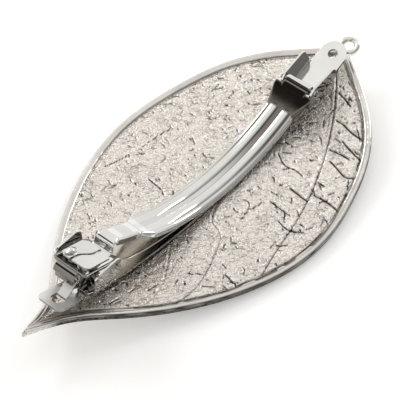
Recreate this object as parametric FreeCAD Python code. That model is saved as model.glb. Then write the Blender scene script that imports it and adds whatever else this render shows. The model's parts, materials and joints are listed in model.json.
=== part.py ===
import FreeCAD, Part
import math
import os

"""Leaf-shaped metal hair barrette with a sprung bar clip on its hollow side.

Millimetres. X runs from the leaf's tip to its eye, Z up out of the hollow side,
origin under the middle of the leaf where its domed front rests on a table.
"""

V = FreeCAD.Vector

# leaf casting
LENGTH = 91.5
HALF_LENGTH = LENGTH / 2
LEAF_THICK = 1.2
LEAF_RADIUS = 161.0
RIM_WIDTH = 1.3
RIM_HEIGHT = 0.45
RIM_TIP_X = -40.5
STEM_END_X = 42.4
HALF_WIDTHS = [(-42.5, 1.0), (-37.5, 2.9), (-30.0, 8.4), (-20.0, 15.3), (-8.0, 20.8), (6.0, 23.3),
               (18.0, 21.3), (28.3, 17.0), (35.0, 11.2), (39.6, 5.2), (STEM_END_X, 1.3)]

# eye at the stem end
EYE_OUTER_R = 2.15
EYE_HOLE_R = 0.95
EYE_WIRE_R = (EYE_OUTER_R - EYE_HOLE_R) / 2
EYE_X = HALF_LENGTH - EYE_OUTER_R
EYE_LIFT = 0.5
EYE_Z = EYE_LIFT + LEAF_THICK / 2 + LEAF_RADIUS - math.sqrt(LEAF_RADIUS ** 2 - EYE_X ** 2)

# base strip of the clip
SOLDER_THICK = 0.2
SOLDER_HALF_LENGTH = 9.0
SOLDER_HALF_WIDTH = 2.3
BASE_THICK = 0.5
BASE_RADIUS = 106.0
BASE_HALF_WIDTH = 2.7
BASE_TOP_Z = LEAF_THICK + SOLDER_THICK + BASE_THICK
TIP_TAB_X = -39.4
STEM_TAB_X = 40.9
TAB_CORNER_R = 1.2
SEW_HOLE_X = 38.4
SEW_HOLE_R = 0.95
D_HOLE_X = -37.0
D_HOLE_R = 1.15
TONGUE_TIP = (-33.0, 10.3)
TONGUE_HALF_WIDTH = 1.0

# hinge
EAR_INNER_Y = 2.75
EAR_THICK = 0.4
EAR_FLARE_DEG = 6.0
PIN_X = 28.36
PIN_Z = 8.73
PIN_R = 0.42
PIN_HEAD_R = 0.62
PIN_HEAD_LENGTH = 0.25
RUNNING_CLEARANCE = 0.05
KNUCKLE_R = 0.95
KNUCKLE_HALF_LENGTH = 2.8
EAR_EYE_R = 1.1

# upper arm
ARM_MID_X = 5.2
ARM_TOP_Z = 3.1
ARM_RADIUS = 43.0
ARM_THICK = 0.45
ARM_HALF_WIDTH = 2.9
ARM_TIP_X = -17.9
ARM_HINGE_X = 27.1
RIB_HEIGHT = 0.4
RIB_HALF_WIDTH = 0.8
RIB_Y = 1.3
RIB_START_X = -13.0
RIB_END_X = 22.8
SHOULDER_START_X = 24.3
SHOULDER_END_X = 26.8
SHOULDER_HALF_WIDTH = 4.1
HEM_HEIGHT = 0.45

# neck and latch frame of the arm
NECK_END_X = -24.3
NECK_END_Z = 13.2
NECK_HALF_WIDTH = 1.9
NECK_WALL_HEIGHT = 1.1
FRAME_REAR_X = -25.4
FRAME_FRONT_X = -34.0
FRAME_REAR_Z = 10.7
FRAME_SLOPE = 0.35
FRAME_THICK = 0.5
RAIL_INNER_Y = 3.22
RAIL_OUTER_Y = 3.72
BAR_WIDTH = 0.8
LIP_RADIUS = 1.3
LIP_DROP = 1.2
LIP_HALF_WIDTH = 2.3

# tension bow
BOW_MID_X = 2.5
BOW_BOTTOM_Z = 2.1
BOW_RADIUS = 70.0
BOW_THICK = 0.3
BOW_HALF_WIDTH = 2.3
BOW_START_X = -23.5
BOW_END_X = 24.5

# catch fingers
FINGER_THICK = 0.4
FINGER_ROOT_Z = 7.35
STEM_Y = 0.6
SEAT_TOP_Z = 6.87
SEAT_HALF_WIDTH = 2.0
SEAT_X = (-31.6, -26.8)
WING_CLEAR = 0.3
WING_OUTER_Y = 3.1
WING_FRONT_X = -32.6
WING_REAR_X = -26.5
SLIT_HALF_GAP = 0.25
SLIT_SWING = 0.7
SLIT_MID_X = -29.6
SLIT_RUN = 0.9
NEAR_STEM_X = (-32.0, -30.6)
FAR_STEM_X = (-28.7, -27.2)
PAD_START_X = -32.4
PAD_END_X = -26.0
PAD_INNER_Y = 4.15
PAD_TOP_Z = 13.3
PAD_TURN_Z = 8.9
DIMPLE_X = -31.1
DIMPLE_Y = 2.0
DIMPLE_R = 0.95


def arc_z(x, mid_x, mid_z, radius):
    """Height of a concave-up circular arc whose lowest point is (mid_x, mid_z)."""
    return mid_z + radius - math.sqrt(radius ** 2 - (x - mid_x) ** 2)


def base_top(x):
    return arc_z(x, 0.0, BASE_TOP_Z, BASE_RADIUS)


def arm_top(x):
    return arc_z(x, ARM_MID_X, ARM_TOP_Z, ARM_RADIUS)


def frame_z(x):
    """Lower face of the sloping latch frame."""
    return FRAME_REAR_Z + FRAME_SLOPE * (FRAME_REAR_X - x)


def sweep_arc(face, mid_x, mid_z, radius, start_x, end_x):
    """Turn a cross-section drawn at mid_x along the arc from start_x to end_x."""
    centre = V(mid_x, 0, mid_z + radius)
    first = math.degrees(math.asin((mid_x - start_x) / radius))
    last = math.degrees(math.asin((mid_x - end_x) / radius))
    turned = face.copy()
    turned.rotate(centre, V(0, 1, 0), first)
    return turned.revolve(centre, V(0, -1, 0), first - last)


def face_yz(points, x):
    wire = Part.makePolygon([V(x, y, z) for y, z in points + points[:1]])
    return Part.Face(wire)


def strip_face(x, half_width, low, high):
    return face_yz([(-half_width, low), (half_width, low), (half_width, high), (-half_width, high)], x)


def plate_xz(points, y_low, y_high):
    """Straight-sided plate: an outline in XZ made thick along Y."""
    wire = Part.makePolygon([V(x, y_low, z) for x, z in points + points[:1]])
    return Part.Face(wire).extrude(V(0, y_high - y_low, 0))


def plate_xy(points, low, high):
    wire = Part.makePolygon([V(x, y, low) for x, y in points + points[:1]])
    return Part.Face(wire).extrude(V(0, 0, high - low))


def inset_edge(points, inset):
    """Points of one side of the leaf, each moved inwards, square to the outline."""
    moved = []
    for before, point, after in zip(points, points[1:], points[2:]):
        along = after - before
        inwards = V(along.y, -along.x, 0).normalize()
        moved.append(point + inwards * inset)
    return moved


def leaf_outline(inset=0.0):
    """Closed leaf outline in the XY plane, moved inwards by inset."""
    tip = V(-HALF_LENGTH, 0, 0)
    upper = [tip] + [V(x, y, 0) for x, y in HALF_WIDTHS]
    if inset:
        inner = inset_edge(upper, inset)
        root = V(STEM_END_X - inset, max(0.2, inner[-1].y - 2 * inset), 0)
        upper = [V(RIM_TIP_X, 0, 0)] + inner[1:] + [root]
    lower = [V(p.x, -p.y, 0) for p in upper]
    edges = []
    for points in (upper, lower):
        curve = Part.BSplineCurve()
        curve.interpolate(points)
        edges.append(curve.toShape())
    edges.append(Part.makeLine(upper[-1], lower[-1]))
    return Part.Face(Part.Wire(Part.__sortEdges__(edges)))


def leaf_layer(low, high):
    """Curved sheet between two heights above the leaf's lowest line."""
    face = strip_face(0, HALF_LENGTH, low, high)
    return sweep_arc(face, 0, LEAF_THICK, LEAF_RADIUS, -HALF_LENGTH - 1, HALF_LENGTH + 1)


def eye_ring():
    ring = Part.makeTorus(EYE_OUTER_R - EYE_WIRE_R, EYE_WIRE_R)
    tilt = math.degrees(math.asin(EYE_X / LEAF_RADIUS))
    ring.rotate(V(0, 0, 0), V(0, 1, 0), -tilt)
    ring.translate(V(EYE_X, 0, EYE_Z))
    return ring


def eye_clearance():
    core = Part.makeCylinder(EYE_OUTER_R - EYE_WIRE_R, 20, V(EYE_X, 0, 0))
    return core.fuse(eye_ring())


def leaf_blade():
    prism = leaf_outline().extrude(V(0, 0, 20))
    return leaf_layer(0, LEAF_THICK).common(prism).cut(eye_clearance())


def leaf_rim():
    outer = leaf_outline().extrude(V(0, 0, 20))
    inner = leaf_outline(RIM_WIDTH).extrude(V(0, 0, 20))
    layer = leaf_layer(LEAF_THICK, LEAF_THICK + RIM_HEIGHT)
    return layer.common(outer).cut(inner).cut(eye_clearance())


def solder_pad():
    block = Part.makeBox(2 * SOLDER_HALF_LENGTH, 2 * SOLDER_HALF_WIDTH, 3)
    block.translate(V(-SOLDER_HALF_LENGTH, -SOLDER_HALF_WIDTH, 0))
    over_leaf = block.cut(leaf_layer(-3, LEAF_THICK))
    under_base = strip_face(0, HALF_LENGTH, BASE_TOP_Z - BASE_THICK, BASE_TOP_Z + 5)
    above = sweep_arc(under_base, 0, BASE_TOP_Z, BASE_RADIUS, -20, 20)
    return over_leaf.cut(above)


def tab_outline():
    """Plan of the base strip: round corners at the tip end, round end at the stem."""
    w = BASE_HALF_WIDTH
    r = TAB_CORNER_R
    stem_x = STEM_TAB_X - w
    s = r * (1 - math.sqrt(0.5))
    arcs = [Part.Arc(V(TIP_TAB_X, w - r, 0), V(TIP_TAB_X + s, w - s, 0), V(TIP_TAB_X + r, w, 0)),
            Part.Arc(V(stem_x, w, 0), V(STEM_TAB_X, 0, 0), V(stem_x, -w, 0)),
            Part.Arc(V(TIP_TAB_X + r, -w, 0), V(TIP_TAB_X + s, s - w, 0), V(TIP_TAB_X, r - w, 0))]
    lines = [Part.makeLine(V(TIP_TAB_X + r, w, 0), V(stem_x, w, 0)),
             Part.makeLine(V(stem_x, -w, 0), V(TIP_TAB_X + r, -w, 0)),
             Part.makeLine(V(TIP_TAB_X, r - w, 0), V(TIP_TAB_X, w - r, 0))]
    edges = [arc.toShape() for arc in arcs] + lines
    return Part.Face(Part.Wire(Part.__sortEdges__(edges)))


def base_strip():
    section = strip_face(0, BASE_HALF_WIDTH + 1, BASE_TOP_Z - BASE_THICK, BASE_TOP_Z)
    sheet = sweep_arc(section, 0, BASE_TOP_Z, BASE_RADIUS, TIP_TAB_X - 1, STEM_TAB_X + 1)
    strip = sheet.common(tab_outline().extrude(V(0, 0, 20)))
    lean = math.asin(SEW_HOLE_X / BASE_RADIUS)
    normal = V(-math.sin(lean), 0, math.cos(lean))
    sew_mouth = V(SEW_HOLE_X, 0, base_top(SEW_HOLE_X))
    sew_hole = Part.makeCylinder(SEW_HOLE_R, 4, sew_mouth - normal * 2, normal)
    half_box = Part.makeBox(D_HOLE_R, 2 * D_HOLE_R, 20, V(D_HOLE_X, -D_HOLE_R, 0))
    d_hole = Part.makeCylinder(D_HOLE_R, 20, V(D_HOLE_X, 0, 0)).cut(half_box)
    slot = Part.makeBox(1.0, 2 * D_HOLE_R, 20, V(D_HOLE_X, -D_HOLE_R, 0))
    return strip.cut(sew_hole).cut(d_hole).cut(slot)


def base_tongue():
    """Strip lanced out of the base, rising from the D-shaped hole under the catch."""
    root_x = D_HOLE_X + 1.0
    tip_x, tip_z = TONGUE_TIP
    foot_x = root_x + 1.0
    outline = [(root_x, base_top(root_x)), (foot_x, base_top(foot_x)), (tip_x + 0.35, tip_z - 0.25),
               (tip_x, tip_z)]
    return plate_xz(outline, -TONGUE_HALF_WIDTH, TONGUE_HALF_WIDTH)


def catch_seat():
    """Level seat pressed up in the base, under the two catch fingers."""
    first, last = SEAT_X
    middle = (first + last) / 2
    outline = [(first, base_top(first)), (middle, base_top(middle)), (last, base_top(last)),
               (last, SEAT_TOP_Z), (first, SEAT_TOP_Z)]
    block = plate_xz(outline, -SEAT_HALF_WIDTH, SEAT_HALF_WIDTH)
    section = strip_face(0, BASE_HALF_WIDTH, BASE_TOP_Z - BASE_THICK, BASE_TOP_Z)
    return block.cut(sweep_arc(section, 0, BASE_TOP_Z, BASE_RADIUS, TIP_TAB_X, 0))


def hinge_ear(side):
    """Upturned ear with a round pin eye at its front and a raised peak behind it."""
    low = base_top(27.3)
    outline = [(27.3, low), (27.3, PIN_Z), (28.4, PIN_Z + EAR_EYE_R), (33.6, 11.0), (34.3, 10.6),
               (35.4, base_top(35.4)), (31.0, base_top(31.0))]
    inner = side * EAR_INNER_Y
    outer = side * (EAR_INNER_Y + EAR_THICK)
    ear = plate_xz(outline, min(inner, outer), max(inner, outer))
    ear.rotate(V(27.3, inner, low), V(1, 0, 0), -side * EAR_FLARE_DEG)
    eye = Part.makeCylinder(PIN_R, 20, V(PIN_X, -10, PIN_Z), V(0, 1, 0))
    foot_points = [(27.3, low - BASE_THICK), (31.0, base_top(31) - BASE_THICK),
                   (35.4, base_top(35.4) - BASE_THICK), (35.4, base_top(35.4) + 0.2),
                   (31.0, base_top(31) + 0.2), (27.3, low + 0.2)]
    foot_in = side * BASE_HALF_WIDTH
    foot = plate_xz(foot_points, min(foot_in, outer), max(foot_in, outer))
    return ear.fuse(foot).cut(eye).removeSplitter()


def hinge_pin():
    half = EAR_INNER_Y + EAR_THICK + 0.55
    pin = Part.makeCylinder(PIN_R, 2 * half, V(PIN_X, -half, PIN_Z), V(0, 1, 0))
    for end in (-half - PIN_HEAD_LENGTH, half):
        head = Part.makeCylinder(PIN_HEAD_R, PIN_HEAD_LENGTH, V(PIN_X, end, PIN_Z), V(0, 1, 0))
        pin = pin.fuse(head)
    return pin.removeSplitter()


def rib_face(y):
    """Round-backed rib section standing on the arm."""
    left = V(ARM_MID_X, y - RIB_HALF_WIDTH, ARM_TOP_Z - 0.1)
    right = V(ARM_MID_X, y + RIB_HALF_WIDTH, ARM_TOP_Z - 0.1)
    crest = V(ARM_MID_X, y, ARM_TOP_Z + RIB_HEIGHT)
    edges = [Part.Arc(left, crest, right).toShape(), Part.makeLine(right, left)]
    return Part.Face(Part.Wire(edges))


def arm_strip():
    w = ARM_HALF_WIDTH
    low = ARM_TOP_Z - ARM_THICK
    hem = low - HEM_HEIGHT
    t = 0.4
    section = face_yz([(-w, hem), (-w + t, hem), (-w + t, low), (w - t, low), (w - t, hem), (w, hem),
                       (w, ARM_TOP_Z - 0.2), (w - 0.3, ARM_TOP_Z), (0.3 - w, ARM_TOP_Z),
                       (-w, ARM_TOP_Z - 0.2)], ARM_MID_X)
    arm = sweep_arc(section, ARM_MID_X, ARM_TOP_Z, ARM_RADIUS, ARM_TIP_X, SHOULDER_START_X + 0.5)
    flat = strip_face(ARM_MID_X, w, low, ARM_TOP_Z)
    arm = arm.fuse(sweep_arc(flat, ARM_MID_X, ARM_TOP_Z, ARM_RADIUS, SHOULDER_START_X, ARM_HINGE_X - 0.3))
    for y in (-RIB_Y, RIB_Y):
        arm = arm.fuse(sweep_arc(rib_face(y), ARM_MID_X, ARM_TOP_Z, ARM_RADIUS, RIB_START_X, RIB_END_X))
    shoulder = strip_face(ARM_MID_X, SHOULDER_HALF_WIDTH, low, ARM_TOP_Z)
    wide = sweep_arc(shoulder, ARM_MID_X, ARM_TOP_Z, ARM_RADIUS, SHOULDER_START_X, SHOULDER_END_X)
    return arm.fuse(wide).removeSplitter()


def arm_knuckle():
    """Rolled end of the arm, round the hinge pin."""
    half = KNUCKLE_HALF_LENGTH
    low = ARM_TOP_Z - ARM_THICK
    lead = strip_face(ARM_MID_X, half, low, ARM_TOP_Z)
    plate = sweep_arc(lead, ARM_MID_X, ARM_TOP_Z, ARM_RADIUS, ARM_HINGE_X - 0.3, PIN_X - 0.45)
    roll = Part.makeCylinder(KNUCKLE_R, 2 * half, V(PIN_X, -half, PIN_Z), V(0, 1, 0))
    bore_r = PIN_R + RUNNING_CLEARANCE
    bore = Part.makeCylinder(bore_r, 2 * half, V(PIN_X, -half, PIN_Z), V(0, 1, 0))
    return plate.fuse(roll).cut(bore).removeSplitter()


def arm_neck():
    """Narrow channel that carries the arm on, straight, to the latch frame."""
    start_z = arm_top(ARM_TIP_X)
    slope = (NECK_END_Z - start_z) / (ARM_TIP_X - NECK_END_X)
    angle = math.asin((ARM_MID_X - ARM_TIP_X) / ARM_RADIUS)
    back_x = ARM_TIP_X - ARM_THICK * math.sin(angle)
    back_z = start_z - ARM_THICK * math.cos(angle)
    top = [(ARM_TIP_X, start_z), (NECK_END_X, NECK_END_Z), (NECK_END_X, NECK_END_Z - ARM_THICK),
           (back_x, back_z)]
    neck = plate_xz(top, -NECK_HALF_WIDTH, NECK_HALF_WIDTH)
    wall_x = ARM_TIP_X - 0.6
    wall_z = start_z + 0.6 * slope
    wall = [(wall_x, wall_z - 0.2), (NECK_END_X, NECK_END_Z - 0.2),
            (NECK_END_X, NECK_END_Z - NECK_WALL_HEIGHT), (wall_x, wall_z - NECK_WALL_HEIGHT)]
    for y in (-NECK_HALF_WIDTH, NECK_HALF_WIDTH - ARM_THICK):
        neck = neck.fuse(plate_xz(wall, y, y + ARM_THICK))
    return neck.removeSplitter()


def frame_slab(x_low, x_high, y_low, y_high, thick=FRAME_THICK):
    points = [(x_low, frame_z(x_low)), (x_high, frame_z(x_high)), (x_high, frame_z(x_high) + thick),
              (x_low, frame_z(x_low) + thick)]
    return plate_xz(points, y_low, y_high)


def arm_frame():
    """Window frame that drops over the catch: step, rear bar, rails, front bar, lip."""
    step = [(NECK_END_X, NECK_END_Z), (NECK_END_X, NECK_END_Z - ARM_THICK - 0.5),
            (FRAME_REAR_X, frame_z(FRAME_REAR_X)), (FRAME_REAR_X, frame_z(FRAME_REAR_X) + FRAME_THICK),
            (FRAME_REAR_X + 0.3, frame_z(FRAME_REAR_X) + 1.4), (NECK_END_X - 0.5, NECK_END_Z)]
    frame = plate_xz(step, -NECK_HALF_WIDTH, NECK_HALF_WIDTH)
    rear_x = FRAME_REAR_X - BAR_WIDTH
    front_x = FRAME_FRONT_X + BAR_WIDTH
    frame = frame.fuse(frame_slab(rear_x, FRAME_REAR_X, -RAIL_OUTER_Y, RAIL_OUTER_Y))
    for side in (-1, 1):
        low, high = sorted((side * RAIL_INNER_Y, side * RAIL_OUTER_Y))
        frame = frame.fuse(frame_slab(FRAME_FRONT_X, rear_x, low, high))
    frame = frame.fuse(frame_slab(FRAME_FRONT_X, front_x, -RAIL_OUTER_Y, RAIL_OUTER_Y))
    return frame.removeSplitter()


def arm_lip():
    """Front edge of the frame rolled over and down, the finger grip for opening."""
    top_z = frame_z(FRAME_FRONT_X) + FRAME_THICK
    centre = V(FRAME_FRONT_X, 0, top_z - LIP_RADIUS)
    inner_r = LIP_RADIUS - FRAME_THICK
    face = face_yz([(-LIP_HALF_WIDTH, top_z - FRAME_THICK), (LIP_HALF_WIDTH, top_z - FRAME_THICK),
                    (LIP_HALF_WIDTH, top_z), (-LIP_HALF_WIDTH, top_z)], FRAME_FRONT_X)
    curl = face.revolve(centre, V(0, -1, 0), 90)
    outer_x = FRAME_FRONT_X - LIP_RADIUS
    inner_x = FRAME_FRONT_X - inner_r
    low = centre.z - LIP_DROP
    front = [(outer_x, centre.z), (inner_x, centre.z), (inner_x, low), (outer_x, low)]
    return curl.fuse(plate_xz(front, -LIP_HALF_WIDTH + 0.4, LIP_HALF_WIDTH - 0.4)).removeSplitter()


def tension_bow():
    section = strip_face(BOW_MID_X, BOW_HALF_WIDTH, BOW_BOTTOM_Z, BOW_BOTTOM_Z + BOW_THICK)
    return sweep_arc(section, BOW_MID_X, BOW_BOTTOM_Z, BOW_RADIUS, BOW_START_X, BOW_END_X)


def slit_y(x):
    """Centre line of the S-shaped slit where the two hook plates meet."""
    return -SLIT_SWING * math.tanh((x - SLIT_MID_X) / SLIT_RUN)


def wing_z(x):
    return frame_z(x) + FRAME_THICK + WING_CLEAR


def catch_hook(side):
    """Hook plate on its stem: side -1 is the near finger, +1 the far one."""
    steps = 10
    xs = [WING_FRONT_X + (WING_REAR_X - WING_FRONT_X) * i / steps for i in range(steps + 1)]
    slit = [V(x, slit_y(x) + side * SLIT_HALF_GAP, 0) for x in xs]
    inner = Part.BSplineCurve()
    inner.interpolate(slit)
    outer = side * WING_OUTER_Y
    corner = [slit[-1], V(WING_REAR_X, side * 2.3, 0), V(WING_REAR_X - 0.8, outer, 0),
              V(WING_FRONT_X + 0.6, outer, 0), V(WING_FRONT_X, side * 2.4, 0), slit[0]]
    wire = Part.Wire([inner.toShape()] + Part.makePolygon(corner).Edges)
    prism = Part.Face(wire).extrude(V(0, 0, 30))
    slab = frame_slab(WING_FRONT_X - 1, WING_REAR_X + 1, -5, 5, FINGER_THICK)
    slab.translate(V(0, 0, FRAME_THICK + WING_CLEAR))
    wing = slab.common(prism)
    first, last = NEAR_STEM_X if side < 0 else FAR_STEM_X
    low, high = sorted((side * STEM_Y, side * (STEM_Y - FINGER_THICK)))
    stem = plate_xz([(first, FINGER_ROOT_Z), (last, FINGER_ROOT_Z), (last, wing_z(last) + 0.1),
                     (first, wing_z(first) + 0.1)], low, high)
    if side > 0:
        dimple = Part.makeSphere(DIMPLE_R)
        dimple.translate(V(DIMPLE_X, DIMPLE_Y, wing_z(DIMPLE_X) + FINGER_THICK - 0.35))
        cutter = frame_slab(WING_FRONT_X - 1, WING_REAR_X + 1, -5, 5, 20)
        cutter.translate(V(0, 0, FRAME_THICK + WING_CLEAR + 0.2))
        wing = wing.fuse(dimple.common(cutter))
    return wing.fuse(stem).removeSplitter()


def pinch_pad(side):
    """Foot and outward-flaring thumb pad of a catch finger."""
    t = FINGER_THICK
    z = FINGER_ROOT_Z
    y_in = PAD_INNER_Y
    points = [(STEM_Y - t, z - t), (2.7, z - t), (y_in + 0.15, PAD_TURN_Z), (y_in + 0.7, PAD_TOP_Z),
              (y_in + 0.3, PAD_TOP_Z), (y_in - 0.25, PAD_TURN_Z + 0.1), (2.5, z), (STEM_Y - t, z)]
    section = face_yz([(side * y, zz) for y, zz in points], PAD_START_X)
    pad = section.extrude(V(PAD_END_X - PAD_START_X, 0, 0))
    mid_x = (PAD_START_X + PAD_END_X) / 2
    lens_r = 4.6
    lens = Part.makeCylinder(lens_r, 12, V(mid_x, -6, PAD_TOP_Z - lens_r + 0.6), V(0, 1, 0))
    foot = Part.makeBox(5.0, 6.0, 3.0, V(mid_x - 2.5, -3.0, z - 1))
    return pad.common(lens.fuse(foot)).removeSplitter()


def main():
    os.makedirs("parts", exist_ok=True)
    shapes = {
        "leaf_blade": leaf_blade(),
        "leaf_rim": leaf_rim(),
        "stem_eye": eye_ring(),
        "solder_pad": solder_pad(),
        "base_strip": base_strip(),
        "base_tongue": base_tongue(),
        "catch_seat": catch_seat(),
        "hinge_ear_near": hinge_ear(-1),
        "hinge_ear_far": hinge_ear(1),
        "hinge_pin": hinge_pin(),
        "arm_strip": arm_strip(),
        "arm_knuckle": arm_knuckle(),
        "arm_neck": arm_neck(),
        "arm_latch_frame": arm_frame(),
        "arm_front_lip": arm_lip(),
        "tension_bow": tension_bow(),
        "catch_hook_near": catch_hook(-1),
        "catch_hook_far": catch_hook(1),
        "pinch_pad_near": pinch_pad(-1),
        "pinch_pad_far": pinch_pad(1),
    }
    for name, shape in shapes.items():
        shape.exportStep("parts/" + name + ".step")
        box = shape.BoundBox
        print(name, shape.isValid(), len(shape.Solids), round(shape.Volume, 2),
              [round(v, 2) for v in (box.XMin, box.XMax, box.YMin, box.YMax, box.ZMin, box.ZMax)])


main()
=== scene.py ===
"""Looks for a leaf barrette: a cast leaf seen from its hollow back, with its sprung clip bar.

Lengths in the dataclasses are millimetres. Meshes are written in metres, in the frame of the
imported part: X from the leaf's tip to its eye, Y across it, Z up out of the hollow back.
"""

import json
import logging
import math
from dataclasses import dataclass, field
from enum import Enum
from typing import Any, Sequence

import bmesh
import bpy
import numpy as np
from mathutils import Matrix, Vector

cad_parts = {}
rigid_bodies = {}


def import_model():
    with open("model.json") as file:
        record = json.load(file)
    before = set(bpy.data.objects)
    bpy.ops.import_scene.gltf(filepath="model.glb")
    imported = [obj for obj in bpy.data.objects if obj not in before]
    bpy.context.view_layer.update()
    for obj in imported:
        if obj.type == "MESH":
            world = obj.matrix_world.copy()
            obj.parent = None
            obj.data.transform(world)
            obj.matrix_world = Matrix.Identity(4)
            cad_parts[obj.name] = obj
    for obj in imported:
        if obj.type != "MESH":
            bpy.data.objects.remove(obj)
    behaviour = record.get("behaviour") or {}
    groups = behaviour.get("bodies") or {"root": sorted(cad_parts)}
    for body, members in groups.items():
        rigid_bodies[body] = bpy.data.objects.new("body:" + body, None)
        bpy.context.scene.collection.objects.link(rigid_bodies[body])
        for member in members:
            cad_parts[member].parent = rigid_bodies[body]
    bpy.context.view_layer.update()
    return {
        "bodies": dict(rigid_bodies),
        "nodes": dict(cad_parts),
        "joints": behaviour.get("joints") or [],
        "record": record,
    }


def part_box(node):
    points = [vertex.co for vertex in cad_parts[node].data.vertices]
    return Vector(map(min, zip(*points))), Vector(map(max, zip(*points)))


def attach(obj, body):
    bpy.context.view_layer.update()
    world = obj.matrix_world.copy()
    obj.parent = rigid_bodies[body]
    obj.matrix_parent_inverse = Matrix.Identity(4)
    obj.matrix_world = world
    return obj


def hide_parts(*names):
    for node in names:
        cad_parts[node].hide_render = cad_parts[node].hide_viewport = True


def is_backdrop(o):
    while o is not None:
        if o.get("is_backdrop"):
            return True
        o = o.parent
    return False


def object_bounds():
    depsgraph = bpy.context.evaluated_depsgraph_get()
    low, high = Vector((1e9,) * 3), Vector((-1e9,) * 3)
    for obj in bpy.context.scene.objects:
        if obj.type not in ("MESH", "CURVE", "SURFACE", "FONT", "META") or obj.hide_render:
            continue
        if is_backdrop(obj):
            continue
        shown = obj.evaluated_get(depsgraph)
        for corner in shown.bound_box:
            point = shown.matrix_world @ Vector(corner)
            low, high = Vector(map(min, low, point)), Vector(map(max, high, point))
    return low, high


LOG = logging.getLogger("barrette")
MM = 0.001
LATCH_X = -25.4
LATCH_SLOPE = 0.35
Array = np.ndarray


class Slot(Enum):
    """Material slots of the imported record."""

    LEAF = "cast_leaf"
    RIM = "polished_rim"
    CLIP = "clip_steel"
    SPRING = "spring_steel"
    SOLDER = "solder"


class Body(Enum):
    """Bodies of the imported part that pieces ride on."""

    BARRETTE = "barrette"
    ARM = "arm"
    BOW = "bow"
    NEAR = "finger_near"
    FAR = "finger_far"


# ---------------------------------------------------------------- shader maths


class Sock:
    """A shader output with arithmetic: each operator adds one Math node."""

    def __init__(self, graph: "Graph", output: Any) -> None:
        """Wrap an output socket of a graph."""
        self.graph = graph
        self.output = output

    def _op(self, kind: str, first: Any, second: Any = 0.0) -> "Sock":
        """Add one Math node of a kind over two values."""
        return self.graph.add("ShaderNodeMath", {"operation": kind}, {0: first, 1: second})

    def __add__(self, other: Any) -> "Sock":
        """Sum."""
        return self._op("ADD", self, other)

    def __sub__(self, other: Any) -> "Sock":
        """Difference."""
        return self._op("SUBTRACT", self, other)

    def __mul__(self, other: Any) -> "Sock":
        """Product."""
        return self._op("MULTIPLY", self, other)

    def __rsub__(self, other: Any) -> "Sock":
        """A number minus this."""
        return self._op("SUBTRACT", other, self)

    __radd__ = __add__
    __rmul__ = __mul__

    def clamp(self) -> "Sock":
        """This held between 0 and 1."""
        return self._op("MINIMUM", self._op("MAXIMUM", self, 0.0), 1.0)

    def step(self, low: float, high: float) -> "Sock":
        """Straight ramp that is 0 below low and 1 above high."""
        return ((self - low) * (1.0 / (high - low))).clamp()


class Graph:
    """A node tree that is filled by one method."""

    def __init__(self, tree: Any) -> None:
        """Empty a node tree and keep it."""
        self.tree = tree
        tree.nodes.clear()

    def add(self, kind: str, settings: dict[str, Any] | None = None,
            inputs: dict[Any, Any] | None = None, out: int | str = 0) -> Sock:
        """Add a node.

        Args:
            kind: the node's type.
            settings: attributes, which are set first.
            inputs: values or wrapped sockets by input name or number.
            out: the output to hand back.

        Returns:
            The chosen output, wrapped.
        """
        node = self.tree.nodes.new(kind)
        for name, value in (settings or {}).items():
            setattr(node, name, value)
        for name, value in (inputs or {}).items():
            if isinstance(value, Sock):
                self.tree.links.new(value.output, node.inputs[name])
            else:
                node.inputs[name].default_value = value
        return Sock(self, node.outputs[out]) if len(node.outputs) else Sock(self, None)

    def place(self) -> Sock:
        """Object coordinates, in metres."""
        return self.add("ShaderNodeTexCoord", out="Object")

    def noise(self, vector: Sock, scale: float, detail: float = 3.0, rough: float = 0.5,
              warp: float = 0.0) -> Sock:
        """Fractal noise with features 1/scale metres across.

        Args:
            vector: coordinates.
            scale: features in a metre.
            detail: how many finer layers.
            rough: how strong the finer layers are.
            warp: how far the pattern is bent.

        Returns:
            The noise, 0 to 1.
        """
        return self.add("ShaderNodeTexNoise", {}, {"Vector": vector, "Scale": scale,
                        "Detail": detail, "Roughness": rough, "Distortion": warp})

    def blend(self, mask: Any, first: Any, second: Any) -> Sock:
        """Mix two colours by a mask."""
        return self.add("ShaderNodeMix", {"data_type": "RGBA"}, {0: mask, 6: first, 7: second}, 2)

    def bump(self, height: Sock, depth: float, strength: float = 1.0,
             normal: Sock | None = None) -> Sock:
        """Turn a height of 0 to 1 into a normal.

        Args:
            height: the relief, 0 to 1.
            depth: its depth, in metres.
            strength: share of the effect.
            normal: a normal to start from.

        Returns:
            The normal.
        """
        inputs = {"Height": height, "Distance": depth, "Strength": strength}
        if normal is not None:
            inputs["Normal"] = normal
        return self.add("ShaderNodeBump", {}, inputs)


def rgb(value: Sequence[float]) -> tuple[float, float, float, float]:
    """A colour with full alpha."""
    return (value[0], value[1], value[2], 1.0)


# ---------------------------------------------------------------- finishes


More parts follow.
